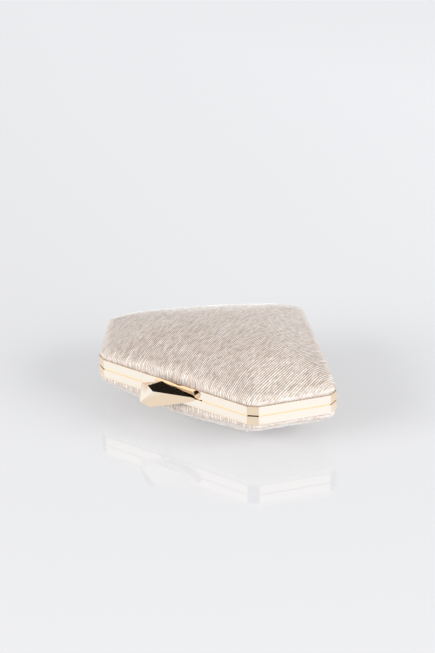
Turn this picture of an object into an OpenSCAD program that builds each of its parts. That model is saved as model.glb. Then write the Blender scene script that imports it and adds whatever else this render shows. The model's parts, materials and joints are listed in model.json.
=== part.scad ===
// Gem-shaped box clutch, a minaudiere, closed and lying on its domed base.
// X runs along the side that carries the clasp, the clasp faces -Y, the hinge is at +Y, and Z is up.
// The origin is on the floor, in the middle of the flat that the base rests on.
// Each half is a metal frame with a hard dished shell, a thin padding, a fabric cover and a lining.

/* [Plan] */
// Half the length of the clasp side, measured to its sharp corner
front_half = 65; // [55:0.5:75]
// Length of each short flared side, measured to its sharp corners
flare_side = 60; // [50:0.5:70]
// Angle between the clasp side's line and each flared side
flare_angle = 57; // [48:1:66]
// Depth from the clasp side to the sharp back corner
plan_depth = 143.5; // [130:0.5:160]
// Width of the flat that cuts off each corner
corner_flat = 8; // [7.6:0.1:11]
// Distance from the clasp side back to the middle of the domes
dome_back = 60; // [52:0.5:68]

/* [Frames] */
// Height of each metal band
band_h = 6; // [5.6:0.1:8]
// Thickness of the band's outer wall
band_t = 0.9; // [0.7:0.05:1.2]
// Thickness of the flange that the shell stands on
flange_t = 1.2; // [0.8:0.05:1.6]
// Gap between the two bands
seam_gap = 1; // [0.7:0.05:1.2]
// Height of the closing lip on the base frame
lip_h = 0.7; // [0.3:0.05:0.9]
// Width of the closing lip
lip_w = 1; // [0.6:0.05:1.4]

/* [Shells] */
// Rise of each dome over its band
dome_h = 22.4; // [18:0.1:28]
// Height of the side wall over the band at the corners
wall_h = 3.9; // [3:0.1:5]
// Extra height of the side wall in the middle of the long sides
wall_rise = 4.6; // [2:0.1:7]
// How far the side wall leans in below the crease
wall_lean = 1.2; // [0.8:0.1:2]
// Fullness of the domes: 2 is a plain bow, more swells them
dome_full = 2.2; // [2:0.1:3.2]
// Share of the lid's radius that is flat on top
lid_flat_share = 0.12; // [0.08:0.01:0.25]
// Share of the base's radius that rests flat on the floor
base_flat_share = 0.35; // [0.25:0.01:0.45]

/* [Layers] */
// Thickness of the fabric cover
cover_t = 0.6; // [0.4:0.05:0.8]
// Thickness of the padding under the fabric
padding_t = 1.2; // [0.8:0.05:1.6]
// Thickness of the hard shell
shell_t = 1.2; // [0.8:0.05:1.6]
// Thickness of the lining
lining_t = 0.5; // [0.3:0.05:0.8]
// Glue gap between neighbouring layers
layer_gap = 0.1; // [0.05:0.01:0.15]

/* [Hinge] */
// Outer radius of the hinge knuckles
hinge_knuckle_r = 1.5; // [1.3:0.05:1.7]
// Radius of the hinge pin
hinge_pin_r = 0.7; // [0.5:0.05:0.9]
// Radial play between a hinge bore and its pin
hinge_play = 0.05; // [0.02:0.01:0.08]
// Thickness of the hinge leaves
leaf_t = 0.8; // [0.6:0.05:1]
// Side gap between knuckles, and between a leaf and the edges of its flat
hinge_gap = 0.3; // [0.2:0.05:0.4]
// Radius of the hinge rivets
hinge_rivet_r = 0.5; // [0.4:0.05:0.6]
// Radius of their heads
hinge_rivet_head_r = 0.9; // [0.75:0.05:1]
// Height of their heads
hinge_rivet_head_h = 0.35; // [0.25:0.05:0.5]

/* [Clasp block] */
// Distance of the block's right end from the middle of the clasp side
block_right = 20; // [18:0.5:28]
// Length of the block
block_len = 35; // [32:0.5:38]
// Height of the block over the lower edge of the lid's band
block_h = 5; // [4.8:0.1:5.5]
// How far the block stands out from the band
block_out = 2.6; // [2.5:0.05:3]
// Corner radius of the block's right end
block_round = 3.4; // [2:0.1:4.2]

/* [Clasp lever] */
// Length of the faceted lever along the bag
lever_len = 41.1; // [38:0.1:46]
// How far the lever's front corner stands out from the band
lever_out = 18.2; // [16:0.1:21]
// Height of the lever's peak over the seam
lever_top = 10.6; // [9.5:0.1:12]
// Drop of the lever's lowest corner below the seam
lever_drop = 8.2; // [7:0.1:9]
// Gap between the block's face and the lever's back
lever_gap = 0.4; // [0.35:0.05:0.6]
// Radius of the lever's pin
lever_pin_r = 0.55; // [0.45:0.05:0.6]
// Wall of the lever's knuckles around their bore
lever_knuckle_wall = 0.5; // [0.4:0.05:0.5]
// Length of each of the lever's two knuckles
lever_knuckle_len = 4; // [3:0.1:4.5]
// Room for the spring between the two knuckles
spring_room = 4; // [3:0.1:5]
// Radius of the spring wire
spring_wire_r = 0.12; // [0.1:0.01:0.14]
// Turns of the spring
spring_turns = 4; // [3:1:5]

/* [Catch] */
// Length of the keeper on the base's band
keeper_len = 12; // [9:0.5:14]
// Height of the keeper
keeper_h = 1.5; // [1.2:0.05:1.6]
// How far the keeper stands out from the band
keeper_out = 1.7; // [1.4:0.05:1.9]
// Length of the hook plate on the lever's back
hook_len = 10; // [8:0.5:11]
// Thickness of the hook plate
hook_t = 0.5; // [0.4:0.05:0.6]
// Gap between the hook's tooth and the keeper
hook_gap = 0.35; // [0.3:0.01:0.4]
// Radius of the small rivets of the block, the hook and the keeper
rivet_r = 0.5; // [0.4:0.05:0.55]

/* [Hidden] */

// Overrun of every cut past the face that it opens
over = 1;
// Radial play of a rivet in its hole
rivet_play = 0.03;
// Facets of small round pieces
small_fn = 32;
// Facets of the knuckles and pins
round_fn = 64;

// Heights over the floor
seam_h = seam_gap / 2 + band_h + dome_h;

// Sharp corners of the plan, counterclockwise from the left end of the clasp side
flare_x = front_half + flare_side * cos(flare_angle);
flare_y = flare_side * sin(flare_angle) - dome_back;
corners = [
  [-front_half, -dome_back],
  [front_half, -dome_back],
  [flare_x, flare_y],
  [0, plan_depth - dome_back],
  [-flare_x, flare_y]
];
sides = len(corners);
// The back corner, which carries the hinge
back = 3;
// How much the wall rises in the middle of each side: clasp side, flare, long side, long side, flare
rise_shares = [1, 0, 1, 1, 0];
// Power of the sine that the rise follows: over 1 it is a hump, under 1 a plateau
front_rise_power = 1.5;
back_rise_power = 0.35;
rise_powers = [front_rise_power, 1, back_rise_power, back_rise_power, 1];

function unit(v) = v / norm(v);
function corner(i) = corners[(i + sides) % sides];
// Direction of the side that leaves corner i, and its normal into the bag
function along(i) = unit(corner(i + 1) - corner(i));
function inward(i) = [-along(i)[1], along(i)[0]];
// Half the turn at corner i, from one side to the next
function half_turn(i) = acos(along(i - 1) * along(i)) / 2;
// Sharp corner i of the plan drawn in by q
function apex(i, q) =
  corner(i) + (inward(i - 1) + inward(i)) * q / (1 + inward(i - 1) * inward(i));
// Length cut off each side at corner i, in the plan drawn in by q
function cut(i, q) =
  let (s = cos(half_turn(i)), c = sin(half_turn(i)))
  corner_flat / (2 * s) + q * (1 - 1 / s) / c;
function cut_in(i, q, more) = apex(i, q) - along(i - 1) * (cut(i, q) + more);
function cut_out(i, q, more) = apex(i, q) + along(i) * (cut(i, q) + more);
// Middle of corner i: on the flat when bend is 0, on the arc that rounds the corner when it is 1
function cut_mid(i, q, more, bend) =
  let (
    flat = (cut_in(i, q, more) + cut_out(i, q, more)) / 2,
    s = cos(half_turn(i)),
    r = (cut(i, q) + more) / tan(half_turn(i)),
    arc = apex(i, q) + unit(inward(i - 1) + inward(i)) * r * (1 / s - 1)
  )
  flat * (1 - bend) + arc * bend;
// Ten-sided plan with flats at its corners, drawn in by q
function plan(q) = [for (i = [0 : sides - 1]) each [cut_in(i, q, 0), cut_out(i, q, 0)]];

// Rings of a layer. Each side has its points between the cut corners.
side_steps = 6;
// Their places along the side, closer together near the corners
function side_share(k) = (1 - cos(180 * k / side_steps)) / 2;
// Extra length that the rounding of the crease takes at each corner
crease_round = 0.8;
function ring(q, more, bend) = [
  for (i = [0 : sides - 1]) each concat(
    [cut_in(i, q, more), cut_mid(i, q, more, bend), cut_out(i, q, more)],
    [
      for (k = [1 : side_steps - 1])
        let (f = side_share(k))
        cut_out(i, q, more) * (1 - f) + cut_in(i + 1, q, more) * f
    ]
  )
];
// Height of the wall over the band at each point of a ring
wall_heights = [
  for (i = [0 : sides - 1]) each concat(
    [wall_h, wall_h, wall_h],
    [
      for (k = [1 : side_steps - 1])
        wall_h + wall_rise * rise_shares[i] * pow(sin(180 * side_share(k)), rise_powers[i])
    ]
  )
];
ring_len = len(wall_heights);

// Side wall above the band: share of the wall's height, then share of its lean
wall_shares = [[0, 0], [0.4, 0], [0.7, 0.15], [0.9, 0.5], [1, 1]];
plain_wall_shares = [[0, 0], [0.55, 0.05], [0.9, 0.5], [1, 1]];
// Places of the dome's rings, as shares of the way from the crease to the flat
dome_shares = [0.08, 0.2, 0.36, 0.55, 0.77, 1];
plain_dome_shares = [0.14, 0.36, 0.65, 1];
// How much of a layer's depth the crease comes down
crease_drop_share = 0.55;

// The layers stand on the flange, inside the band's wall
wall_in = band_t + layer_gap;
foot_z = seam_gap / 2 + flange_t + layer_gap;
band_top = seam_gap / 2 + band_h;
padding_in = cover_t + layer_gap;
shell_in = padding_in + padding_t + layer_gap;
lining_in = shell_in + shell_t + layer_gap;
layers_in = lining_in + lining_t;
flange_in = wall_in + layers_in;

// One skin of a layer at depth d under the outer face, as a list of rings over the seam
function lift(plan_ring, z_list) = [for (k = [0 : ring_len - 1]) concat(plan_ring[k], z_list[k])];
function level(z) = [for (k = [0 : ring_len - 1]) z];
function crease_z(d) = [for (w = wall_heights) band_top + w - crease_drop_share * d];
function skin(d, walls, domes, flat_share) =
  let (
    crease = ring(wall_in + d + wall_lean, crease_round, 1),
    crease_heights = crease_z(d),
    top = band_top + dome_h - d
  )
  concat(
    [lift(ring(wall_in + d, 0, 0), level(foot_z))],
    [
      for (w = walls)
        lift(
          ring(wall_in + d + wall_lean * w[1], crease_round * w[1], w[1]),
          [for (z = crease_heights) band_top + (z - band_top) * w[0]]
        )
    ],
    [
      for (s = domes)
        let (g = 1 - pow(1 - s, dome_full), t = s * (1 - flat_share))
        lift(crease * (1 - t), [for (z = crease_heights) z + (top - z) * g])
    ]
  );

// Closed dish between the skins at depths d_out and d_in
module layer(d_out, d_in, flat_share, walls) {
  domes = len(walls) == len(wall_shares) ? dome_shares : plain_dome_shares;
  outer = skin(d_out, walls, domes, flat_share);
  inner = skin(d_in, plain_wall_shares, plain_dome_shares, flat_share);
  first_in = len(outer) * ring_len;
  last_in = first_in + (len(inner) - 1) * ring_len;
  top_out = last_in + ring_len;
  top_in = top_out + 1;
  outer_faces = [
    for (j = [0 : len(outer) - 2]) for (k = [0 : ring_len - 1])
      let (a = j * ring_len + k, b = j * ring_len + (k + 1) % ring_len)
      each [[a, a + ring_len, b + ring_len], [a, b + ring_len, b]]
  ];
  inner_faces = [
    for (j = [0 : len(inner) - 2]) for (k = [0 : ring_len - 1])
      let (a = first_in + j * ring_len + k, b = first_in + j * ring_len + (k + 1) % ring_len)
      each [[a, b + ring_len, a + ring_len], [a, b, b + ring_len]]
  ];
  foot_faces = [
    for (k = [0 : ring_len - 1])
      let (n = (k + 1) % ring_len)
      each [[k, n, first_in + n], [k, first_in + n, first_in + k]]
  ];
  cap_faces = [
    for (k = [0 : ring_len - 1])
      let (n = (k + 1) % ring_len)
      each [[top_out, first_in - ring_len + n, first_in - ring_len + k], [top_in, last_in + k, last_in + n]]
  ];
  tops = [for (d = [d_out, d_in]) [0, 0, band_top + dome_h - d]];
  polyhedron(
    points = concat([for (r = outer) each r], [for (r = inner) each r], tops),
    faces = concat(outer_faces, inner_faces, foot_faces, cap_faces),
    convexity = 6
  );
}

// Both halves are drawn upwards from the middle of the seam
module lid_side() { translate([0, 0, seam_h]) children(); }
module base_side() { translate([0, 0, seam_h]) mirror([0, 0, 1]) children(); }

gold = [0.93, 0.8, 0.62];
steel = [0.75, 0.74, 0.72];
fabric = [0.8, 0.75, 0.7];
foam = [0.92, 0.9, 0.84];
board = [0.35, 0.33, 0.32];
satin = [0.86, 0.82, 0.76];

// Metal frame with its outer wall and the flange that the layers stand on
module frame_ring() {
  difference() {
    translate([0, 0, seam_gap / 2]) linear_extrude(band_h) polygon(plan(0));
    translate([0, 0, seam_gap / 2 + flange_t]) linear_extrude(band_h) polygon(plan(band_t));
    translate([0, 0, seam_gap / 2 - over]) linear_extrude(flange_t + 2 * over) polygon(plan(flange_in));
  }
}

module lid_frame() {
  color(gold) difference() {
    lid_side() frame_ring();
    clasp_rivet_holes();
    lid_side() hinge_rivet_holes();
  }
}

module base_frame() {
  color(gold) difference() {
    union() {
      base_side() frame_ring();
      translate([0, 0, seam_h - seam_gap / 2 - flange_t / 2]) difference() {
        linear_extrude(flange_t / 2 + lip_h) polygon(plan(wall_in));
        translate([0, 0, -over]) linear_extrude(flange_t + lip_h + 2 * over) polygon(plan(wall_in + lip_w));
      }
    }
    keeper_rivet_holes();
    base_side() hinge_rivet_holes();
  }
}

module lid_cover() { color(fabric) lid_side() layer(0, cover_t, lid_flat_share, wall_shares); }
module lid_padding() {
  color(foam) lid_side() layer(padding_in, padding_in + padding_t, lid_flat_share, plain_wall_shares);
}
module lid_shell() {
  color(board) lid_side() layer(shell_in, shell_in + shell_t, lid_flat_share, plain_wall_shares);
}
module lid_lining() {
  color(satin) lid_side() layer(lining_in, layers_in, lid_flat_share, plain_wall_shares);
}
module base_cover() { color(fabric) base_side() layer(0, cover_t, base_flat_share, wall_shares); }
module base_padding() {
  color(foam) base_side() layer(padding_in, padding_in + padding_t, base_flat_share, plain_wall_shares);
}
module base_shell() {
  color(board) base_side() layer(shell_in, shell_in + shell_t, base_flat_share, plain_wall_shares);
}
module base_lining() {
  color(satin) base_side() layer(lining_in, layers_in, base_flat_share, plain_wall_shares);
}

// Hinge on the flat of the back corner. The middle knuckle is the lid's.
back_flat_y = (cut_in(back, 0, 0)[1] + cut_out(back, 0, 0)[1]) / 2;
hinge_clear_r = hinge_knuckle_r + hinge_gap;
hinge_y = back_flat_y + hinge_clear_r;
hinge_w = corner_flat - 2 * hinge_gap;
hinge_knuckle_w = (hinge_w - 2 * hinge_gap) / 3;
hinge_mid_half = hinge_knuckle_w / 2;
leaf_far = seam_gap / 2 + band_h - hinge_gap;
hinge_rivet_x = hinge_w / 4;
hinge_rivet_z = seam_gap / 2 + band_h * 2 / 3;

// Cylinder along X between x0 and x1, around the point at y and z
module x_rod(x0, x1, y, z, r, facets) {
  translate([x0, y, z]) rotate([0, 90, 0]) cylinder(h = x1 - x0, r = r, $fn = facets);
}
// Cylinder along Y between y0 and y1
module y_rod(x, y0, y1, z, r, facets) {
  translate([x, y0, z]) rotate([-90, 0, 0]) cylinder(h = y1 - y0, r = r, $fn = facets);
}

// One leaf, drawn upwards from the seam. own and other are the spans of its knuckles and the other leaf's.
module hinge_leaf(own, other) {
  difference() {
    union() {
      difference() {
        translate([-hinge_w / 2, back_flat_y, 0]) cube([hinge_w, leaf_t, leaf_far]);
        for (s = other)
          x_rod(s[0] - hinge_gap, s[1] + hinge_gap, hinge_y, 0, hinge_clear_r, round_fn);
        translate([-hinge_w / 2 - over, back_flat_y - over, -over])
          cube([hinge_w + 2 * over, leaf_t + 2 * over, over + seam_gap / 2]);
      }
      for (s = own) {
        x_rod(s[0], s[1], hinge_y, 0, hinge_knuckle_r, round_fn);
        translate([s[0], back_flat_y, seam_gap / 2])
          cube([s[1] - s[0], hinge_clear_r, hinge_knuckle_r - seam_gap / 2]);
      }
    }
    x_rod(-hinge_w / 2 - over, hinge_w / 2 + over, hinge_y, 0, hinge_pin_r + hinge_play, round_fn);
    hinge_rivet_holes();
  }
}
mid_span = [[-hinge_mid_half, hinge_mid_half]];
side_spans = [
  [-hinge_w / 2, -hinge_mid_half - hinge_gap],
  [hinge_mid_half + hinge_gap, hinge_w / 2]
];
module hinge_leaf_lid() { color(gold) lid_side() hinge_leaf(mid_span, side_spans); }
module hinge_leaf_base() { color(gold) base_side() hinge_leaf(side_spans, mid_span); }

module hinge_pin() {
  color(steel)
    x_rod(-hinge_w / 2, hinge_w / 2, hinge_y, seam_h, hinge_pin_r, round_fn);
}

module hinge_rivet_holes() {
  for (s = [-1, 1])
    y_rod(s * hinge_rivet_x, back_flat_y - band_t - over, back_flat_y + leaf_t + over,
      hinge_rivet_z, hinge_rivet_r + rivet_play, small_fn);
}
module hinge_rivets() {
  for (s = [-1, 1]) {
    y_rod(s * hinge_rivet_x, back_flat_y - band_t, back_flat_y + leaf_t,
      hinge_rivet_z, hinge_rivet_r, small_fn);
    y_rod(s * hinge_rivet_x, back_flat_y + leaf_t, back_flat_y + leaf_t + hinge_rivet_head_h,
      hinge_rivet_z, hinge_rivet_head_r, small_fn);
  }
}
module hinge_rivets_lid() { color(gold) lid_side() hinge_rivets(); }
module hinge_rivets_base() { color(gold) base_side() hinge_rivets(); }

// Clasp, in front of the band's face
front_y = -dome_back;
block_left = block_right - block_len;
block_z = seam_h + seam_gap / 2;
lever_knuckle_r = lever_pin_r + hinge_play + lever_knuckle_wall;
lever_pin_out = block_out / 2 + (block_out / 2 - lever_knuckle_r) / 2;
lever_pin_y = front_y - lever_pin_out;
lever_pin_z = block_z + block_h / 2;
lever_back = block_out + lever_gap;
// The knuckles lie left of the block's middle, with the spring between them
knuckle_mid = block_right - block_len * 0.6;
knuckle_end = spring_room / 2 + lever_knuckle_len;
slot_half = knuckle_end + lever_gap;
slot_top = lever_pin_z + lever_knuckle_r + lever_gap;
// The pin ends halfway between the slot and the left rivet
clasp_rivet_inset = 2;
clasp_rivet_x = [block_left + clasp_rivet_inset, block_right - clasp_rivet_inset * 2];
pin_half = slot_half + (knuckle_mid - slot_half - clasp_rivet_x[0] - rivet_r) / 2;

// Shares of the lever's length from its right tip, of its reach and of its height or drop
lever_shares = [
  [0.031, 0.258, 0.283],
  [0.554, 0.484, 1],
  [0.693, 0.918, 0.82],
  [0.577, 0.962, 0.566],
  [0.868, 0.769, 0.7],
  [0.823, 1, -0.524],
  [0.927, 0.819, -0.39],
  [0.708, 0.786, -1],
  [0.182, 0.341, -0.293],
  [1, 0.511, -0.56],
  [0.927, 0.275, -0.585],
  [0.708, 0.25, 0.66]
];
// Corners of the lever's back face: share of its length, then of its height or drop
lever_back_shares = [[0, 0.15], [0.027, -0.06], [0.197, -0.34], [0.795, -0.683], [0.781, 0.14]];

function lever_z(share) = seam_h + share * (share > 0 ? lever_top : lever_drop);
lever_points = concat(
  [for (s = lever_shares) [block_right - s[0] * lever_len, front_y - s[1] * lever_out, lever_z(s[2])]],
  [for (s = lever_back_shares) [block_right - s[0] * lever_len, front_y - lever_back, lever_z(s[1])]]
);

module clasp_lever() {
  tongue_z = lever_pin_z - lever_knuckle_r * 0.6;
  tongue_h = lever_knuckle_r * 1.1;
  tongue_in = lever_gap * 3;
  color(gold) difference() {
    union() {
      hull() polyhedron(points = lever_points, faces = [[for (k = [0 : len(lever_points) - 1]) k]]);
      for (s = [-1, 1]) {
        x0 = knuckle_mid + (s < 0 ? -knuckle_end : spring_room / 2);
        x_rod(x0, x0 + lever_knuckle_len, lever_pin_y, lever_pin_z, lever_knuckle_r, round_fn);
        translate([x0, front_y - lever_back - tongue_in, tongue_z])
          cube([lever_knuckle_len, lever_back + tongue_in - lever_pin_out, tongue_h]);
      }
    }
    x_rod(knuckle_mid - knuckle_end - over, knuckle_mid + knuckle_end + over,
      lever_pin_y, lever_pin_z, lever_pin_r + hinge_play, round_fn);
    hook_rivet_holes();
  }
}

module clasp_block() {
  color(gold) difference() {
    translate([0, front_y, 0]) rotate([90, 0, 0]) linear_extrude(block_out) union() {
      translate([block_left, block_z]) square([block_len - block_round, block_h]);
      translate([block_right - block_round - over, block_z]) square([block_round + over, block_h - block_round]);
      intersection() {
        translate([block_right - block_round, block_z + block_h - block_round])
          circle(block_round, $fn = round_fn);
        translate([block_right - block_round, block_z + block_h - block_round - over])
          square(block_round + over);
      }
    }
    translate([knuckle_mid - slot_half, front_y - block_out - over, block_z - over])
      cube([2 * slot_half, block_out + 2 * over, slot_top - block_z + over]);
    x_rod(knuckle_mid - pin_half, knuckle_mid + pin_half,
      lever_pin_y, lever_pin_z, lever_pin_r + rivet_play, round_fn);
    clasp_rivet_holes();
  }
}

module clasp_pin() {
  color(steel)
    x_rod(knuckle_mid - pin_half + rivet_play, knuckle_mid + pin_half - rivet_play,
      lever_pin_y, lever_pin_z, lever_pin_r, round_fn);
}

// Torsion spring wound round the pin between the knuckles
spring_steps = 12;
spring_sides = 6;
spring_r = lever_pin_r + hinge_play + lever_knuckle_wall / 2 + spring_wire_r;
spring_len = spring_room - 2 * lever_gap - 2 * spring_wire_r;
module clasp_spring() {
  n = spring_turns * spring_steps;
  rings = [
    for (j = [0 : n])
      let (a = 360 * j / spring_steps, x = spring_len * (j / n - 1 / 2))
      [
        for (k = [0 : spring_sides - 1])
          let (b = 360 * k / spring_sides, r = spring_r + spring_wire_r * cos(b))
          [x + spring_wire_r * sin(b), r * cos(a), r * sin(a)]
      ]
  ];
  faces = concat(
    [
      for (j = [0 : n - 1]) for (k = [0 : spring_sides - 1])
        let (a = j * spring_sides + k, b = j * spring_sides + (k + 1) % spring_sides)
        each [[a, b, b + spring_sides], [a, b + spring_sides, a + spring_sides]]
    ],
    [[for (k = [spring_sides - 1 : -1 : 0]) k], [for (k = [0 : spring_sides - 1]) n * spring_sides + k]]
  );
  color(steel) translate([knuckle_mid, lever_pin_y, lever_pin_z])
    polyhedron(points = [for (r = rings) each r], faces = faces, convexity = 6);
}

// Rivets from inside the lid's band into the ends of the block
clasp_rivet_depth = block_out / 2;
clasp_rivet_z = block_z + block_h / 4;
module clasp_rivet_holes() {
  for (x = clasp_rivet_x)
    y_rod(x, front_y - clasp_rivet_depth - rivet_play, front_y + band_t + over,
      clasp_rivet_z + band_h / 4, rivet_r + rivet_play, small_fn);
}
module clasp_rivets() {
  color(steel) for (x = clasp_rivet_x)
    y_rod(x, front_y - clasp_rivet_depth, front_y + band_t,
      clasp_rivet_z + band_h / 4, rivet_r, small_fn);
}

// Hook plate on the lever's back, and the keeper on the base's band
catch_mid = knuckle_mid;
keeper_z = seam_h - seam_gap / 2 - flange_t / 2;
keeper_rivet_x = keeper_len / 2 - 2 * rivet_r - rivet_play;
tooth_h = 2 * hook_t;
hook_top = seam_h - seam_gap / 2;
hook_low = keeper_z - keeper_h - hook_gap - tooth_h;
hook_rivet_x = hook_len / 4;
hook_rivet_z = (hook_top + hook_low + tooth_h) / 2;
hook_rivet_depth = 1.5;

module latch_hook() {
  color(steel) difference() {
    union() {
      translate([catch_mid - hook_len / 2, front_y - lever_back, hook_low])
        cube([hook_len, hook_t, hook_top - hook_low]);
      translate([catch_mid - hook_len / 2, front_y - lever_back, hook_low])
        cube([hook_len, lever_back - keeper_out - hook_gap, tooth_h]);
    }
    hook_rivet_holes();
  }
}
module hook_rivet_holes() {
  for (s = [-1, 1])
    y_rod(catch_mid + s * hook_rivet_x, front_y - lever_back - hook_rivet_depth - rivet_play,
      front_y - lever_back + hook_t + over, hook_rivet_z, rivet_r + rivet_play, small_fn);
}
module hook_rivets() {
  color(steel) for (s = [-1, 1])
    y_rod(catch_mid + s * hook_rivet_x, front_y - lever_back - hook_rivet_depth,
      front_y - lever_back + hook_t, hook_rivet_z, rivet_r, small_fn);
}

module keeper() {
  color(gold) difference() {
    translate([catch_mid - keeper_len / 2, front_y - keeper_out, keeper_z - keeper_h])
      cube([keeper_len, keeper_out, keeper_h]);
    keeper_rivet_holes();
  }
}
module keeper_rivet_holes() {
  for (s = [-1, 1])
    y_rod(catch_mid + s * keeper_rivet_x, front_y - keeper_out - over, front_y + band_t + over,
      keeper_z - keeper_h / 2, rivet_r + rivet_play, small_fn);
}
module keeper_rivets() {
  color(steel) for (s = [-1, 1])
    y_rod(catch_mid + s * keeper_rivet_x, front_y - keeper_out, front_y + band_t,
      keeper_z - keeper_h / 2, rivet_r, small_fn);
}

lid_frame();
lid_shell();
lid_padding();
lid_cover();
lid_lining();
base_frame();
base_shell();
base_padding();
base_cover();
base_lining();
hinge_leaf_lid();
hinge_leaf_base();
hinge_pin();
hinge_rivets_lid();
hinge_rivets_base();
clasp_block();
clasp_rivets();
clasp_lever();
clasp_pin();
clasp_spring();
latch_hook();
hook_rivets();
keeper();
keeper_rivets();
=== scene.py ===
"""Looks of the gem-shaped minaudiere: ribbed fabric on two domes, pale-gold bands and clasp."""
import json
import math
from functools import cache

import bpy
import numpy as np
from mathutils import Matrix, Vector, geometry, kdtree


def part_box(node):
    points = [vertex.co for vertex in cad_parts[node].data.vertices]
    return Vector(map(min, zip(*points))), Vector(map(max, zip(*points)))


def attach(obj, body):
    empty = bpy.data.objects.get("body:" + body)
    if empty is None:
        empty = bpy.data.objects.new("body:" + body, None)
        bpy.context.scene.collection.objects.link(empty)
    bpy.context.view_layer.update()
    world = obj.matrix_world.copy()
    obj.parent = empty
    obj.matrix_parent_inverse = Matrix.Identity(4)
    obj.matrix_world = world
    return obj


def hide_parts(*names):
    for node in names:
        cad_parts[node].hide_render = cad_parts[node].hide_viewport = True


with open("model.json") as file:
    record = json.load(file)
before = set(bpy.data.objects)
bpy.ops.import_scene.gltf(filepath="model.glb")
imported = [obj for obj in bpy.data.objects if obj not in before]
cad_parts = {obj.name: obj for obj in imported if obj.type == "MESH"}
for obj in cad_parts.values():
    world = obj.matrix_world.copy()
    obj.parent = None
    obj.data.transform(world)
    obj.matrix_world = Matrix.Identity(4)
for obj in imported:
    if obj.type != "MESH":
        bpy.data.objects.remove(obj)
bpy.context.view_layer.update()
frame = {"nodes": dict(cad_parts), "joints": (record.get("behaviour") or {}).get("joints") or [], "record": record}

MM = 0.001
SEED = 11

# ---- Sizes that the fabric shares with the solids under it ----
WALL_IN = 1.0 * MM       # the fabric's foot, in from the band's outer face
WALL_LEAN = 1.2 * MM     # how much further in the crease lies
WALL_CURVE = 5           # a higher power puts more of that right under the crease
WALL_H = 3.9 * MM        # height of the side wall at the corners
WALL_RISE = 4.6 * MM     # more height in the middle of the long sides
FRONT_POWER = 1.5        # the rise is a hump over the clasp side
BACK_POWER = 0.35        # and a plateau along the two back sides
DOME_FULL = 2.2          # 1 would be a cone
LID_FLAT_SHARE = 0.12    # the flat in the middle, as a share of the way out
BASE_FLAT_SHARE = 0.35
ROUNDING = 0.75          # how far the dome's inner part forgets the outline's corners
ROUNDING_REACH = 0.7     # share of the way in over which it does so
ROUND_BLUR = 0.05        # width of the blur that rounds the outline, as a share of its length
BACK_SWELL = 2.0 * MM    # the padding fills the back corner more than the plain solid
SIDE_SWELL = 0.9 * MM    # and the two flared ones a little
SWELL_REACH = 14 * MM
LINING_DEPTH = 4.0 * MM  # from the fabric's face to the lining's
FLANGE_TOP = 1.8 * MM    # where the lining stands, over the middle of the seam
DEPTH_DROP = 0.55        # share of a layer's depth that its crease comes down

# ---- Outlines ----
LEAST_EDGE = 0.5 * MM    # a shorter edge of the hull is no side of the bag
LEAST_TURN = math.radians(5)
OUTLINE_POINTS = 1800
ARC_POINTS = 24
SIDE_STEP = 0.3 * MM
LONG_SIDE = 20 * MM      # shorter sides are corner flats, where the wall doesn't rise
FRONT_FACING = 0.6       # nor does it on sides that turn less than this to the front
RISE_BLUR = 3 * MM

# ---- Fabric ----
CREASE_R = 6.5 * MM      # rounding of the crease at the corners
RIB_COUNT = 200
RIB_WIDTHS = (1.15 * MM, 1.6 * MM)   # the ribs are not all of one width
RIB_DEPTH = 0.085 * MM
RIB_STRENGTHS = (0.5, 1.2)           # nor of one depth
GROOVE_POWER = 1.3       # over 1, grooves are narrower than the ribs between them
COLUMN = 0.21 * MM       # step of the fabric's mesh across the ribs
CLOTH_END = 0.15 * MM    # how far the mesh stops short of the cloth's two tips
PUFF = 0.55 * MM         # how far the padding pushes the side wall out over the band
PUFF_BACK = 0.4 * MM     # and how much more on the two back sides
PUFF_TURN = 3            # how fast that sets in as a side turns to the back
TUCK = 0.9 * MM          # what is pushed down behind the band
PAINTED_FOOT_SHADE = 1.1 * MM    # painted shade: a darker strip over the band, where the cloth meets it
WALL_ROWS = 7
DOME_ROWS = 46
SMOOTHINGS = 2
# Where the cloth changes, as shares of the way out: from where, and over how much. Along the crease and on the
# flared sides the grooves are painted paler, a painted highlight.
CREASE_HIGHLIGHT_RANGE = (0.93, 0.06)
CALM_RANGE = (0.55, 0.4)
CALM = 0.65              # how much flatter the ribs get towards the flared sides
SIDE_HIGHLIGHT_RANGE = (0.35, 0.4)
SIDE_HIGHLIGHT = 0.32         # how much paler the grooves are painted there, a painted highlight

# ---- Lining ----
LINING_R = 3 * MM
RING_STEP = 4            # the lining has a point at every fourth one of the outline
HEM = 0.45 * MM          # radius of the rolled hem
HEM_ROWS = 7
LINING_WALL = (0.15, 0.9, 5)         # lowest and highest row as shares of its height, and rows
LINING_CURVE = 4         # its lean, as WALL_CURVE is for the fabric's wall
LINING_DOME_ROWS = 26
LINING_DOME_EASE = 1.2   # over 1, rows lie closer together at the crease
JUST_INSIDE = 0.9999     # where the dome's height is read, so that it is never past the crease
MIDDLE = 1e-3            # size of the last ring, as a share of the first
RIPPLE = 0.3 * MM
RIPPLE_WAVES = (7, 11, 17, 23, 31)   # numbers of wrinkles round the lining, laid over each other
RIPPLE_FADES = ((0.2, 4), (0.8, -3))  # shares of the way in, and how fast they come or go there

# ---- Light, as linear values ----
SKY_LOW = (0.84, 0.845, 0.865)
SKY_HIGH = (0.52, 0.525, 0.545)
SKY_HIGH_FROM = 0.8      # height of a direction, as the world's Z
SKY_MIRRORED = (0.80, 0.80, 0.81)
SKY_MIRRORED_DARK = (0.015, 0.013, 0.012)
DARK_FROM = (0.30, 0.35)             # height where the mirrored sky turns dark
# Panels that the metal and the floor mirror: azimuth, elevation, the angles where each is full
# and where it ends, and its brightness
PANELS = (
    (-37, 25, 14, 17, 1.4),
    (76, 25, 14, 17, 1.4),
    (180, 78, 14, 17, 1.0),
    (185, 50, 18, 28, 1.0),
    (217, 25, 10, 14, 0.55),
)
SOFTBOX_DISTANCE = 4.0
SOFTBOX_SIZE = (3.0, 2.2)

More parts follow.
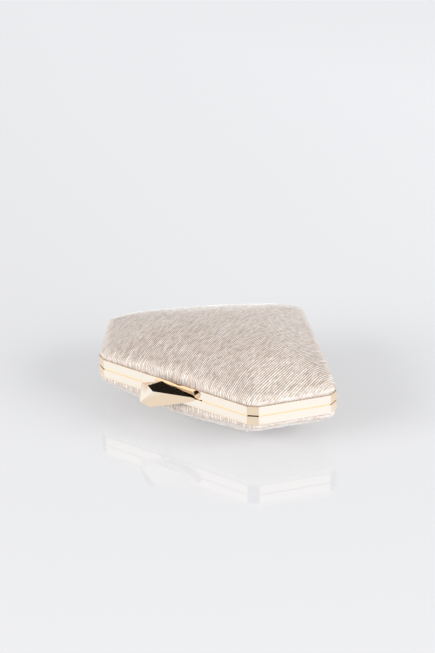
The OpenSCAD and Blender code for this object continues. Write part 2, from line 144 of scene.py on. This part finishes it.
# ---- Floor, as linear values ----
FLOOR_COLOUR = (0.615, 0.615, 0.62)
FLOOR_FAR = (0.765, 0.77, 0.78)
FAR_FROM = (0.05, 0.6)               # Y between which the colour changes to the far one
FLOOR_TONE = (0.84, 0.845, 0.865)
FLOOR_OWN_LIGHT = 0.36
MIRRORED_FLOOR = (0.88, 0.875, 0.87)
MIRRORED_GLARE_LEFT = (1.01, 1.14, 1.32)
MIRRORED_GLARE_RIGHT = (1.07, 1.21, 1.43)
# Edges of the two painted glare patches, where the floor glows brighter in what the metal mirrors: from where, and
# where each is full
GLARE_LEFT_X = ((0.062, 0.035), (-0.185, -0.155))
GLARE_LEFT_Y = (-0.091, -0.099)
GLARE_RIGHT_X = (0.1, 0.118)
GLARE_RIGHT_Y = (0.05, 0.02)

seam_z = next(j for j in frame["joints"] if j["name"] == "lid_hinge")["pos_m"][2]
band_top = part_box("lid_frame")[1].z - seam_z
dome_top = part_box("lid_cover")[1].z - seam_z


# ---- Outline of the bag, read from the lid's band ----
def plan_of(node):
    """Corners of a node's convex outline seen from above, counterclockwise."""
    co = [(v.co.x, v.co.y) for v in frame["nodes"][node].data.vertices]
    hull = np.array([co[i] for i in geometry.convex_hull_2d(co)])
    after = np.roll(hull, -1, 0)
    if np.sum(hull[:, 0] * after[:, 1] - hull[:, 1] * after[:, 0]) < 0:
        hull = hull[::-1]
    keep = [p for i, p in enumerate(hull) if np.linalg.norm(p - hull[i - 1]) > LEAST_EDGE]
    corners = []
    for i, p in enumerate(keep):
        a, b = p - keep[i - 1], keep[(i + 1) % len(keep)] - p
        if abs(math.atan2(a[0] * b[1] - a[1] * b[0], a @ b)) > LEAST_TURN:
            corners.append(p)
    return np.array(corners)


PLAN = plan_of("lid_frame")


def outward(poly):
    """Direction along each side of a polygon, and the one straight out of it."""
    along = np.roll(poly, -1, 0) - poly
    along /= np.linalg.norm(along, axis=1)[:, None]
    return along, np.stack([along[:, 1], -along[:, 0]], 1)


def drawn_in(poly, q):
    """Polygon with each side moved in by q."""
    _, normal = outward(poly)
    before = np.roll(normal, 1, 0)
    return poly - (normal + before) * q / (1 + (normal * before).sum(1))[:, None]


def blurred(values, width):
    """Closed row of values smoothed over about width steps."""
    freq = np.fft.rfftfreq(len(values))
    kept = np.exp(-2 * (math.pi * freq * width) ** 2)
    return np.fft.irfft(np.fft.rfft(values) * kept, len(values))


def smooth_step(t):
    """Soft change from 0 at 0 to 1 at 1."""
    t = np.clip(t, 0, 1)
    return t * t * (3 - 2 * t)


def onset(value, start, span):
    """0 up to start, and 1 from start + span on."""
    return smooth_step((value - start) / span)


def rounded(inset, radius):
    """Points of the bag's outline drawn in and rounded, and the share of the rise at each."""
    core = drawn_in(PLAN, inset + radius)
    along, normal = outward(core)
    points, rise = [], []
    for i, p in enumerate(core):
        a0 = math.atan2(normal[i - 1][1], normal[i - 1][0])
        a1 = math.atan2(normal[i][1], normal[i][0])
        a1 += 2 * math.pi if a1 < a0 else 0
        for a in np.linspace(a0, a1, ARC_POINTS, endpoint=False):
            points.append(p + radius * np.array([math.cos(a), math.sin(a)]))
            rise.append(0)
        length = np.linalg.norm(core[(i + 1) % len(core)] - p)
        to_back = normal[i][1]
        level = length < LONG_SIDE or -FRONT_FACING < to_back < 0
        power = FRONT_POWER if to_back < 0 else BACK_POWER
        for f in np.linspace(0, 1, max(2, int(length / SIDE_STEP)), endpoint=False):
            points.append(p + normal[i] * radius + along[i] * length * f)
            rise.append(0 if level else math.sin(math.pi * f) ** power)
    return np.array(points), np.array(rise)


class Outline:
    """Closed rounded outline at an even step, with the side wall's height at each point."""

    def __init__(self, inset, radius, swollen=False):
        points, rise = rounded(inset, radius)
        steps = np.linalg.norm(np.roll(points, -1, 0) - points, axis=1)
        at = np.concatenate([[0], np.cumsum(steps)])
        even = np.linspace(0, at[-1], OUTLINE_POINTS, endpoint=False)
        step = at[-1] / OUTLINE_POINTS
        closed = np.vstack([points, points[:1]])
        self.pos = np.stack([np.interp(even, at, closed[:, k]) for k in (0, 1)], 1)
        self.tangent = np.roll(self.pos, -1, 0) - np.roll(self.pos, 1, 0)
        self.tangent /= np.linalg.norm(self.tangent, axis=1)[:, None]
        self.normal = np.stack([self.tangent[:, 1], -self.tangent[:, 0]], 1)
        self.puff = PUFF + PUFF_BACK * smooth_step(self.normal[:, 1] * PUFF_TURN)
        soft_rise = blurred(np.interp(even, at, np.append(rise, rise[0])), RISE_BLUR / step)
        self.wall = WALL_H + WALL_RISE * soft_rise
        if swollen:
            self.swell()
        self.slope = (np.roll(self.wall, -1) - np.roll(self.wall, 1)) / (2 * step)
        angle = np.arctan2(self.pos[:, 1], self.pos[:, 0])
        order = np.argsort(angle)
        self.angle = angle[order]
        self.radius = np.linalg.norm(self.pos, axis=1)[order]
        self.height = self.wall[order]
        self.sideways = np.abs(self.normal[:, 0])[order]
        self.round_radius = blurred(self.radius, OUTLINE_POINTS * ROUND_BLUR)
        self.round_height = blurred(self.height, OUTLINE_POINTS * ROUND_BLUR)

    def swell(self):
        """Raises the wall at the back corner and at the two flared ones."""
        x, y = self.pos.T
        corners = (y.argmax(), BACK_SWELL), (x.argmin(), SIDE_SWELL), (x.argmax(), SIDE_SWELL)
        for k, more in corners:
            away = np.linalg.norm(self.pos - self.pos[k], axis=1) / SWELL_REACH
            self.wall += more * np.exp(-away ** 2)

    def polar(self, table, angle):
        """Value of one of the sorted tables at each angle round the middle."""
        return np.interp(angle, self.angle, table, period=2 * math.pi)


def lower_and_upper(points):
    """Lower and upper half of a closed line, each as increasing x and its y."""
    left, right = np.argmin(points[:, 0]), np.argmax(points[:, 0])
    ring = np.roll(points, -left, 0)
    n = (right - left) % len(points)
    return ring[: n + 1], np.vstack([ring[n:], ring[:1]])[::-1]


def dome_height(line, x, y, depth, flat_share):
    """Height of a layer's dome over the seam's middle, and each point's share of the way out."""
    r, angle = np.hypot(x, y), np.arctan2(y, x)
    edge, wall = line.polar(line.radius, angle), line.polar(line.height, angle)
    out = r / edge
    ease = ROUNDING * smooth_step((1 - out) / ROUNDING_REACH)
    edge = edge + (line.polar(line.round_radius, angle) - edge) * ease
    wall = wall + (line.polar(line.round_height, angle) - wall) * ease
    share = np.clip((1 - r / edge) / (1 - flat_share), 0, 1)
    crease = band_top + wall - DEPTH_DROP * depth
    return crease + (dome_top - depth - crease) * (1 - (1 - share) ** DOME_FULL), out


def wall_point(line, p, tree):
    """Place on the side wall of a point of the fabric laid flat, outside the crease."""
    _, k, _ = tree.find((p[0], p[1], 0))
    rel = p - line.pos[k]
    along, down = rel @ line.tangent[k], rel @ line.normal[k]
    wall = line.wall[k] + line.slope[k] * along
    left = max(0.0, 1 - down / wall)
    out = WALL_LEAN * (1 - left ** WALL_CURVE) + line.puff[k] * 4 * left * (1 - left)
    xy = line.pos[k] + line.tangent[k] * along + line.normal[k] * out
    return xy[0], xy[1], band_top + wall - down


def grid_mesh(name, grid, closed=False):
    """Mesh of quads over a grid of points; closed joins its ends and fills the middle."""
    rows, cols = grid.shape[:2]
    index = np.arange(rows * cols).reshape(rows, cols)
    if closed:
        index = np.vstack([index, index[:1]])
    quads = np.stack([index[:-1, :-1], index[1:, :-1], index[1:, 1:], index[:-1, 1:]], -1)
    middle = [index[:-1, -1].tolist()] if closed else []
    mesh = bpy.data.meshes.new(name)
    mesh.from_pydata(grid.reshape(-1, 3).tolist(), [], quads.reshape(-1, 4).tolist() + middle)
    mesh.polygons.foreach_set("use_smooth", [True] * len(mesh.polygons))
    mesh.update()
    piece = bpy.data.objects.new(name, mesh)
    bpy.context.scene.collection.objects.link(piece)
    return piece


def grid_normals(grid):
    """Direction square to the surface at each of its points."""
    across, along = np.gradient(grid, axis=0), np.gradient(grid, axis=1)
    n = np.cross(across, along)
    return n / np.maximum(np.linalg.norm(n, axis=2), 1e-12)[..., None]


def write_attribute(piece, name, values):
    """Gives the mesh a number at each point, or a vector where values has one more axis."""
    kind, key = ("FLOAT_VECTOR", "vector") if values.ndim == 3 else ("FLOAT", "value")
    layer = piece.data.attributes.new(name, kind, "POINT")
    layer.data.foreach_set(key, values.astype(np.float32).ravel())


def rib_places(x):
    """Number of the rib at each x, with its fraction; a whole number is the bottom of a groove."""
    grooves = np.cumsum(np.random.default_rng(SEED).uniform(*RIB_WIDTHS, RIB_COUNT))
    return np.interp(x, grooves - grooves[-1] / 2, np.arange(RIB_COUNT))


def rib_depths(place):
    """How far the fabric's face lies under the tops of its ribs, which all run along Y."""
    strengths = np.random.default_rng(SEED + 1).uniform(*RIB_STRENGTHS, RIB_COUNT + 1)
    groove = (0.5 + 0.5 * np.cos(2 * math.pi * place)) ** GROOVE_POWER
    return RIB_DEPTH * strengths[np.round(place).astype(int)] * groove


def laid_flat(line):
    """The cloth before it is wrapped: each column's x, and y along it from front to back."""
    flat = line.pos + line.normal * (line.wall + TUCK)[:, None]
    flat_low, flat_up = lower_and_upper(flat)
    low, up = lower_and_upper(line.pos)
    x = np.arange(flat[:, 0].min() + CLOTH_END, flat[:, 0].max() - CLOTH_END, COLUMN)
    y0, y1, y2, y3 = (np.interp(x, *half.T) for half in (flat_low, low, up, flat_up))
    outside = (x < line.pos[:, 0].min()) | (x > line.pos[:, 0].max())
    y1[outside] = y2[outside] = (y0[outside] + y3[outside]) / 2
    wall = np.linspace(0, 1, WALL_ROWS, endpoint=False)
    even = np.linspace(0, 1, DOME_ROWS, endpoint=False)
    dome = (even + (1 - np.cos(math.pi * even)) / 2) / 2
    parts = (y0, y1, wall), (y1, y2, dome), (y2, y3, np.append(wall, 1))
    return x, np.hstack([a[:, None] + (b - a)[:, None] * share for a, b, share in parts])


def make_cover(half, sign, flat_share):
    """Fabric of one half: columns of points along the ribs, several to each rib."""
    line = Outline(WALL_IN + WALL_LEAN, CREASE_R, swollen=True)
    x, y = laid_flat(line)
    grid = np.zeros(y.shape + (3,))
    grid[..., 0], grid[..., 1] = x[:, None], y
    grid[..., 2], out = dome_height(line, grid[..., 0], y, 0, flat_share)
    tree = kdtree.KDTree(len(line.pos))
    for k, p in enumerate(line.pos):
        tree.insert((*p, 0), k)
    tree.balance()
    on_wall = out > 1
    for i, j in zip(*np.nonzero(on_wall)):
        grid[i, j] = wall_point(line, grid[i, j, :2].copy(), tree)
    for _ in range(SMOOTHINGS):
        grid[:, 1:-1] = grid[:, 1:-1] / 2 + (grid[:, :-2] + grid[:, 2:]) / 4
    # Painted shade: the cloth darkens towards the band, where the two parts meet
    foot = smooth_step((band_top + PAINTED_FOOT_SHADE - grid[..., 2]) / PAINTED_FOOT_SHADE) * on_wall
    rib = rib_places(x)
    sideways = line.polar(line.sideways, np.arctan2(grid[..., 1], grid[..., 0]))
    calm = 1 - CALM * onset(out, *CALM_RANGE) * sideways
    grid -= grid_normals(grid) * (rib_depths(rib)[:, None] * calm)[..., None]
    # Painted highlight: the grooves are painted paler along the crease and on the flared sides
    painted_highlight = onset(out, *CREASE_HIGHLIGHT_RANGE) * (1 + sideways) / 2
    painted_highlight = np.maximum(painted_highlight, SIDE_HIGHLIGHT * onset(out, *SIDE_HIGHLIGHT_RANGE) * sideways)
    grid[..., 2] = seam_z + sign * grid[..., 2]
    if sign < 0:
        grid, y, x, rib, painted_highlight, foot = (a[::-1] for a in (grid, y, x, rib, painted_highlight, foot))
    piece = grid_mesh(half + "_fabric", grid)
    across, ribs = (np.broadcast_to(a[:, None], y.shape) for a in (x / MM, rib))
    write_attribute(piece, "cloth", np.stack([across, y / MM, ribs], -1))
    write_attribute(piece, "painted_highlight", painted_highlight)
    write_attribute(piece, "foot", foot)
    piece.data.materials.append(ribbed_fabric())
    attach(piece, half)
    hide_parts(half + "_cover", half + "_padding")


def make_lining(half, sign, flat_share):
    """Satin lining of one half, with a rolled hem over the flange and soft wrinkles."""
    inset = WALL_IN + LINING_DEPTH
    line, foot = Outline(inset + WALL_LEAN, LINING_R), Outline(inset, LINING_R)
    ring = np.arange(0, OUTLINE_POINTS, RING_STEP)
    upper, lower = line.pos[ring], foot.pos[ring]
    columns = []

    def add_column(xy, z):
        columns.append(np.column_stack([xy, np.broadcast_to(z, len(ring))]))

    for degrees in np.linspace(-90, 90, HEM_ROWS):
        a = math.radians(degrees)
        add_column(lower - foot.normal[ring] * (HEM * math.cos(a)),
                   FLANGE_TOP + HEM * (1 + math.sin(a)))
    wall_foot = FLANGE_TOP + 2 * HEM
    wall_top = band_top + line.wall[ring] - DEPTH_DROP * LINING_DEPTH
    for f in np.linspace(*LINING_WALL):
        add_column(lower + (upper - lower) * f ** LINING_CURVE,
                   wall_foot + (wall_top - wall_foot) * f)
    for f in 1 - np.linspace(0, 1, LINING_DOME_ROWS, endpoint=False) ** LINING_DOME_EASE:
        x, y = (upper[:, k] * f * JUST_INSIDE for k in (0, 1))
        add_column(upper * f, dome_height(line, x, y, LINING_DEPTH, flat_share)[0])
    add_column(upper * MIDDLE, dome_top - LINING_DEPTH)
    grid = np.stack(columns, 1)
    rng = np.random.default_rng(SEED + (1 if sign > 0 else 2))
    around = np.linspace(0, 2 * math.pi, len(ring), endpoint=False)[:, None]
    inward = np.linspace(0, 1, grid.shape[1])[None]
    ripple = 0
    for waves in RIPPLE_WAVES:
        strength, phase, twist = rng.uniform(0.3, 1), rng.uniform(0, 6), rng.uniform(-3, 3)
        ripple = ripple + strength * np.sin(waves * around + phase + twist * inward)
    depth = RIPPLE * ripple
    for place, pace in RIPPLE_FADES:
        depth = depth * smooth_step((inward - place) * pace)
    grid[..., 2] -= np.abs(depth)
    grid[..., 2] = seam_z + sign * grid[..., 2]
    if sign < 0:
        grid = grid[::-1]
    piece = grid_mesh(half + "_satin", grid, closed=True)
    piece.data.materials.append(satin())
    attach(piece, half)
    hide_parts(half + "_lining")


# ---- Materials ----
class Nodes:
    """Short hand for the node tree of a material or of the world."""

    def __init__(self, owner):
        owner.use_nodes = True
        self.owner, self.tree = owner, owner.node_tree
        self.shader = self.tree.nodes.get("Principled BSDF")

    def add(self, kind, **values):
        node = self.tree.nodes.new("ShaderNode" + kind)
        self.set(node, **values)
        return node

    def set(self, node, **values):
        """Sets properties of the node, and its sockets, with _ for each space in their names."""
        for key, value in values.items():
            if hasattr(node, key):
                setattr(node, key, value)
            else:
                node.inputs[key.replace("_", " ")].default_value = value

    def link(self, out, to):
        self.tree.links.new(out, to)

    def feed(self, socket, value):
        """Sets a socket to a number or colour, or links another node's output to it."""
        if isinstance(value, (int, float)):
            socket.default_value = value
        elif isinstance(value, tuple):
            socket.default_value = (*value, 1)
        else:
            self.link(value, socket)

    def math(self, operation, *values):
        node = self.add("Math", operation=operation)
        for socket, value in zip(node.inputs, values):
            self.feed(socket, value)
        return node.outputs[0]

    def mix(self, factor, a, b, blend="MIX"):
        node = self.add("Mix", data_type="RGBA", blend_type=blend)
        for socket, value in zip((node.inputs[0], node.inputs[6], node.inputs[7]), (factor, a, b)):
            self.feed(socket, value)
        return node.outputs[2]

    def step(self, value, low, high):
        """0 below low and 1 above high."""
        node = self.add("MapRange", From_Min=low, From_Max=high)
        self.link(value, node.inputs["Value"])
        return node.outputs["Result"]

    def noise(self, vector, scale, detail):
        node = self.add("TexNoise", Scale=scale, Detail=detail)
        self.link(vector, node.inputs["Vector"])
        return node.outputs["Fac"]

    def ramp(self, value, stops):
        """Colour that changes from stop to stop, each a place and a colour."""
        node = self.add("ValToRGB")
        elements = node.color_ramp.elements
        while len(elements) < len(stops):
            elements.new(0.5)
        for element, (at, colour) in zip(elements, stops):
            element.position = at
            element.color = (*colour, 1)
        self.link(value, node.inputs["Fac"])
        return node.outputs["Color"]

    def attribute(self, name, output):
        node = self.add("Attribute", attribute_type="GEOMETRY", attribute_name=name)
        return node.outputs[output]

    def split(self, vector):
        node = self.add("SeparateXYZ")
        self.link(vector, node.inputs[0])
        return node.outputs

    def bump(self, height, distance, strength):
        node = self.add("Bump", Strength=strength, Distance=distance)
        self.link(height, node.inputs["Height"])
        self.link(node.outputs["Normal"], self.shader.inputs["Normal"])


def linear(*rgb):
    """Colour as seen on a screen, from 0 to 255, as the shader's linear value."""
    return tuple((c / 255 / 12.92) if c <= 10 else ((c / 255 + 0.055) / 1.055) ** 2.4 for c in rgb)


FABRIC_COLOURS = ((0.28, linear(219, 206, 194)), (0.5, linear(243, 232, 222)),
                  (0.70, linear(255, 252, 248)))
SATIN_COLOURS = ((0.3, linear(183, 169, 153)), (0.7, linear(194, 180, 164)))
BOARD_COLOURS = ((0.3, linear(84, 80, 76)), (0.7, linear(108, 102, 96)))
RIB_SHADE = (7.31, 0.085)            # noise cells to a rib, and to a millimetre along it
RIB_SHADE_SHARE = 0.8
SHADE_DRIFT = (0.3, 0.03)            # the same for slower changes over many ribs
SHADE_DRIFT_SHARE = 0.2
# The grooves' brown: partly the cloth's own darker threads, partly painted shade that stands in for the ribs'
# relief
GROOVE_COLOUR_AND_SHADE = linear(118, 92, 73)
GROOVE_SHARPNESS = 1.5   # as GROOVE_POWER, for the colour
GROOVE_SHARE = 0.9       # how much of that colour and painted shade the grooves take on
GROOVE_HIGHLIGHT = 0.55       # and how much less where the highlight is painted, along the crease and on the flared sides
# Painted shade along the cloth's foot, where it meets the band: its colour, and how much of it shows
FOOT_SHADE_COLOUR = linear(176, 138, 108)
FOOT_SHADE_SHARE = 0.35
# What darkens the cloth: how fine its noise is across and along the ribs, in cells to the
# millimetre, and its detail; how much of it shows; where it is darkest and where plain; its shade
CLOTH_LAYERS = {
    "slubs": ((0.9, 1.7, 2.5), 0.8, (0.32, 0.62), linear(206, 202, 199)),
    "threads": ((5.5, 0.25, 1.0), 0.7, (0.35, 0.6), linear(225, 222, 219)),
    "mottle": ((0.5, 0.24, 3.0), 0.56, (0.34, 0.54), linear(196, 193, 191)),
}


@cache
def ribbed_fabric():
    """Champagne fabric: ribs each of a shade, brown grooves that are partly painted shade, slubs, threads and grey
    mottling, with a painted highlight at the crease and painted shade over the band.
    """
    n = Nodes(bpy.data.materials.new("ribbed_fabric"))
    across, along, rib = n.split(n.attribute("cloth", "Vector"))
    painted_highlight, foot = n.attribute("painted_highlight", "Fac"), n.attribute("foot", "Fac")

    def streaks(source, fine, long, detail=1.5):
        """Noise drawn out along the ribs, with this many cells to a unit of the source."""
        at = n.add("CombineXYZ")
        n.link(n.math("MULTIPLY", source, fine), at.inputs["X"])
        n.link(n.math("MULTIPLY", along, long), at.inputs["Y"])
        return n.noise(at.outputs[0], scale=1.0, detail=detail)

    wave = n.math("COSINE", n.math("MULTIPLY", rib, 2 * math.pi))
    groove = n.math("POWER", n.math("MULTIPLY_ADD", wave, 0.5, 0.5), GROOVE_SHARPNESS)
    of_rib = streaks(n.math("FLOOR", rib), *RIB_SHADE)
    drift = n.math("MULTIPLY", streaks(rib, *SHADE_DRIFT), SHADE_DRIFT_SHARE)
    colour = n.ramp(n.math("MULTIPLY_ADD", of_rib, RIB_SHADE_SHARE, drift), FABRIC_COLOURS)
    # Brown and painted shade in the grooves, less where the highlight is painted
    groove_tint_and_shade = n.math("MULTIPLY", groove, n.math("MULTIPLY_ADD", painted_highlight, -GROOVE_HIGHLIGHT, GROOVE_SHARE))
    colour = n.mix(groove_tint_and_shade, colour, GROOVE_COLOUR_AND_SHADE)
    # Painted shade over the band
    colour = n.mix(n.math("MULTIPLY", foot, FOOT_SHADE_SHARE), colour, FOOT_SHADE_COLOUR)
    noise = {}
    for name, (fineness, share, (darkest, plain), shade) in CLOTH_LAYERS.items():
        noise[name] = streaks(across, *fineness)
        layer = n.ramp(noise[name], ((darkest, shade), (plain, (1, 1, 1))))
        colour = n.mix(share, colour, layer, "MULTIPLY")
    n.link(colour, n.shader.inputs["Base Color"])
    n.set(n.shader, Metallic=0.2, Roughness=0.48, Sheen_Weight=0.6, Sheen_Roughness=0.3,
          Specular_IOR_Level=0.5)
    relief = n.math("MULTIPLY_ADD", noise["slubs"], 0.9, noise["threads"])
    relief = n.math("MULTIPLY_ADD", groove, -0.8, relief)
    n.bump(relief, distance=0.1 * MM, strength=0.45)
    return n.owner


@cache
def satin():
    """Smooth champagne satin with a fine twill and soft shade changes."""
    n = Nodes(bpy.data.materials.new("satin_lining"))
    at = n.add("TexCoord").outputs["Object"]
    cloud = n.noise(at, scale=60, detail=3)
    n.link(n.ramp(cloud, SATIN_COLOURS), n.shader.inputs["Base Color"])
    n.set(n.shader, Roughness=0.38, Sheen_Weight=0.5)
    twill = n.add("TexWave", bands_direction="DIAGONAL", Scale=900, Distortion=1.5)
    n.link(at, twill.inputs["Vector"])
    relief = n.math("ADD", twill.outputs["Fac"], n.math("MULTIPLY", cloud, 2.0))
    n.bump(relief, distance=0.05 * MM, strength=0.5)
    return n.owner


def metal(name, colour, dull, roughness, grain):
    """Polished metal with faint clouding and a very fine grain, rougher in some places."""
    n = Nodes(bpy.data.materials.new(name))
    at = n.add("TexCoord").outputs["Object"]
    cloud = n.math("MULTIPLY", n.noise(at, scale=90, detail=4), 0.35)
    n.link(n.mix(cloud, colour, dull), n.shader.inputs["Base Color"])
    n.set(n.shader, Metallic=1.0)
    uneven = n.noise(at, scale=240, detail=5)
    gloss = n.math("MULTIPLY_ADD", uneven, roughness, roughness * 0.5)
    n.link(gloss, n.shader.inputs["Roughness"])
    n.bump(n.noise(at, scale=grain, detail=3), distance=0.002 * MM, strength=0.4)
    return n.owner


@cache
def polished_gold():
    return metal("polished_gold", colour=(0.95, 0.78, 0.60), dull=(0.92, 0.74, 0.55),
                 roughness=0.06, grain=2500)


@cache
def steel_pin():
    return metal("steel_pin", colour=(0.72, 0.70, 0.67), dull=(0.6, 0.58, 0.55),
                 roughness=0.25, grain=4000)


@cache
def shell_board():
    """Matt grey board with a rough face."""
    n = Nodes(bpy.data.materials.new("shell_board"))
    at = n.add("TexCoord").outputs["Object"]
    colour = n.ramp(n.noise(at, scale=300, detail=4), BOARD_COLOURS)
    n.link(colour, n.shader.inputs["Base Color"])
    n.set(n.shader, Roughness=0.8)
    n.bump(n.noise(at, scale=1800, detail=3), distance=0.05 * MM, strength=0.6)
    return n.owner


SLOT_MATERIALS = {
    "polished_gold": polished_gold, "steel_pin": steel_pin, "shell_board": shell_board,
}
WELD = 0.001 * MM
BAND_BEVEL = 0.07 * MM
CLASP_BEVEL = 0.12 * MM
BEVEL_ANGLE = math.radians(25)


def dress_cad():
    """Materials of the CAD nodes that show, and a fine bevel on the gold ones' edges."""
    slots = {s["node"]: s["material_slot"] for s in frame["record"]["subparts"]}
    for name, node in frame["nodes"].items():
        make = SLOT_MATERIALS.get(slots[name])
        if make is None:
            continue
        node.data.materials.clear()
        node.data.materials.append(make())
        if slots[name] == "polished_gold":
            weld = node.modifiers.new("weld", "WELD")
            weld.merge_threshold = WELD
            bevel = node.modifiers.new("bevel", "BEVEL")
            bevel.width = BAND_BEVEL if name.endswith("_frame") else CLASP_BEVEL
            bevel.segments = 2
            bevel.limit_method = "ANGLE"
            bevel.angle_limit = BEVEL_ANGLE
            shading = node.modifiers.new("shading", "WEIGHTED_NORMAL")
            shading.weight = 100


# ---- Stage ----
def make_floor():
    """White glossy table. In the metal it shows as a glow, with painted glare patches brighter at the front left
    and at the right.
    """
    n = Nodes(bpy.data.materials.new("floor"))
    n.set(n.shader, Roughness=0.02, IOR=1.6)
    x, y, _ = n.split(n.add("TexCoord").outputs["Object"])
    n.link(n.mix(n.step(y, *FAR_FROM), FLOOR_COLOUR, FLOOR_FAR), n.shader.inputs["Base Color"])
    left = n.math("MULTIPLY", *(n.step(x, *edge) for edge in GLARE_LEFT_X))
    left = n.math("MULTIPLY", n.step(y, *GLARE_LEFT_Y), left)
    right = n.math("MULTIPLY", n.step(x, *GLARE_RIGHT_X), n.step(y, *GLARE_RIGHT_Y))
    # Painted glare: patches of the floor glow brighter, only for mirrored rays
    mirrored = n.mix(left, MIRRORED_FLOOR, MIRRORED_GLARE_LEFT)
    mirrored = n.mix(right, mirrored, MIRRORED_GLARE_RIGHT)
    glow, pale = n.add("Emission"), n.add("Emission", Color=(*FLOOR_TONE, 1))
    n.link(mirrored, glow.inputs["Color"])
    soft, pick = n.add("MixShader", Fac=FLOOR_OWN_LIGHT), n.add("MixShader")
    n.link(n.shader.outputs[0], soft.inputs[1])
    n.link(pale.outputs[0], soft.inputs[2])
    n.link(n.add("LightPath").outputs["Is Glossy Ray"], pick.inputs[0])
    n.link(soft.outputs[0], pick.inputs[1])
    n.link(glow.outputs[0], pick.inputs[2])
    n.link(pick.outputs[0], n.tree.nodes["Material Output"].inputs["Surface"])
    bpy.ops.mesh.primitive_plane_add(size=16)
    floor = bpy.context.object
    floor.name = "floor"
    floor.data.materials.append(n.owner)


def toward(azimuth, elevation):
    """Direction from the bag. Azimuth 0 is in front of the clasp and 90 at its right."""
    a, e = math.radians(azimuth), math.radians(elevation)
    return Vector((math.sin(a) * math.cos(e), -math.cos(a) * math.cos(e), math.sin(e)))


def make_world():
    """Even pale light all round. What mirrors sees it only low down, with panels in the dark."""
    n = Nodes(bpy.data.worlds.new("studio"))
    bpy.context.scene.world = n.owner
    direction = n.add("TexCoord").outputs["Generated"]
    up = n.split(direction)["Z"]
    mirrored = n.mix(n.step(up, *DARK_FROM), SKY_MIRRORED, SKY_MIRRORED_DARK)
    for azimuth, elevation, full, end, bright in PANELS:
        near = n.add("VectorMath", operation="DOT_PRODUCT")
        n.link(direction, near.inputs[0])
        near.inputs[1].default_value = toward(azimuth, elevation)
        end, full = (math.cos(math.radians(a)) for a in (end, full))
        mirrored = n.mix(n.step(near.outputs["Value"], end, full), mirrored, (bright,) * 3)
    even = n.mix(n.step(up, 0, SKY_HIGH_FROM), SKY_LOW, SKY_HIGH)
    glossy = n.add("LightPath").outputs["Is Glossy Ray"]
    background = n.tree.nodes["Background"]
    n.link(n.mix(glossy, even, mirrored), background.inputs["Color"])
    n.set(background, Strength=1.0)


def make_softbox(name, azimuth, elevation, power):
    """Soft light on the bag. Nothing mirrors it: the world's pale panels stand for it there."""
    data = bpy.data.lights.new(name, "AREA")
    data.shape = "RECTANGLE"
    data.size, data.size_y = SOFTBOX_SIZE
    data.energy = power
    lamp = bpy.data.objects.new(name, data)
    away = toward(azimuth, elevation)
    lamp.visible_glossy = False
    lamp.location = away * SOFTBOX_DISTANCE
    lamp.rotation_mode = "QUATERNION"
    lamp.rotation_quaternion = away.to_track_quat("Z", "Y")
    bpy.context.scene.collection.objects.link(lamp)


def make_camera():
    """The photograph's view: its angle, and the turn that puts the bag where it lies in it."""
    azimuth, elevation, roll = (math.radians(a) for a in (37.72, 25.07, -0.67))
    distance = 1.8447
    lens, sensor, picture_height = 150, 36, 653
    right_px, down_px = 11.46, 34.3
    focal_px = picture_height / sensor * lens
    forward = Vector((-math.sin(azimuth) * math.cos(elevation),
                      math.cos(azimuth) * math.cos(elevation), -math.sin(elevation)))
    level = Vector((math.cos(azimuth), math.sin(azimuth), 0))
    upright = level.cross(forward)
    right = level * math.cos(roll) + upright * math.sin(roll)
    up = upright * math.cos(roll) - level * math.sin(roll)
    aim = (forward - right * (right_px / focal_px) + up * (down_px / focal_px)).normalized()
    right = aim.cross(up).normalized()
    up = right.cross(aim)
    data = bpy.data.cameras.new("camera")
    data.lens, data.sensor_width = lens, sensor
    data.clip_start, data.clip_end = 0.05, 50
    camera = bpy.data.objects.new("camera", data)
    camera.matrix_world = Matrix((right, up, -aim)).transposed().to_4x4()
    camera.location = Vector((0, 0, seam_z)) - forward * distance
    bpy.context.scene.collection.objects.link(camera)
    bpy.context.scene.camera = camera


make_camera()
dress_cad()
for make in (make_cover, make_lining):
    make("lid", 1, LID_FLAT_SHARE)
    make("base", -1, BASE_FLAT_SHARE)
make_floor()
make_world()
make_softbox("softbox_front", azimuth=-22, elevation=20, power=210)
make_softbox("softbox_right", azimuth=99, elevation=23, power=200)

bpy.context.scene.view_settings.view_transform = "Standard"
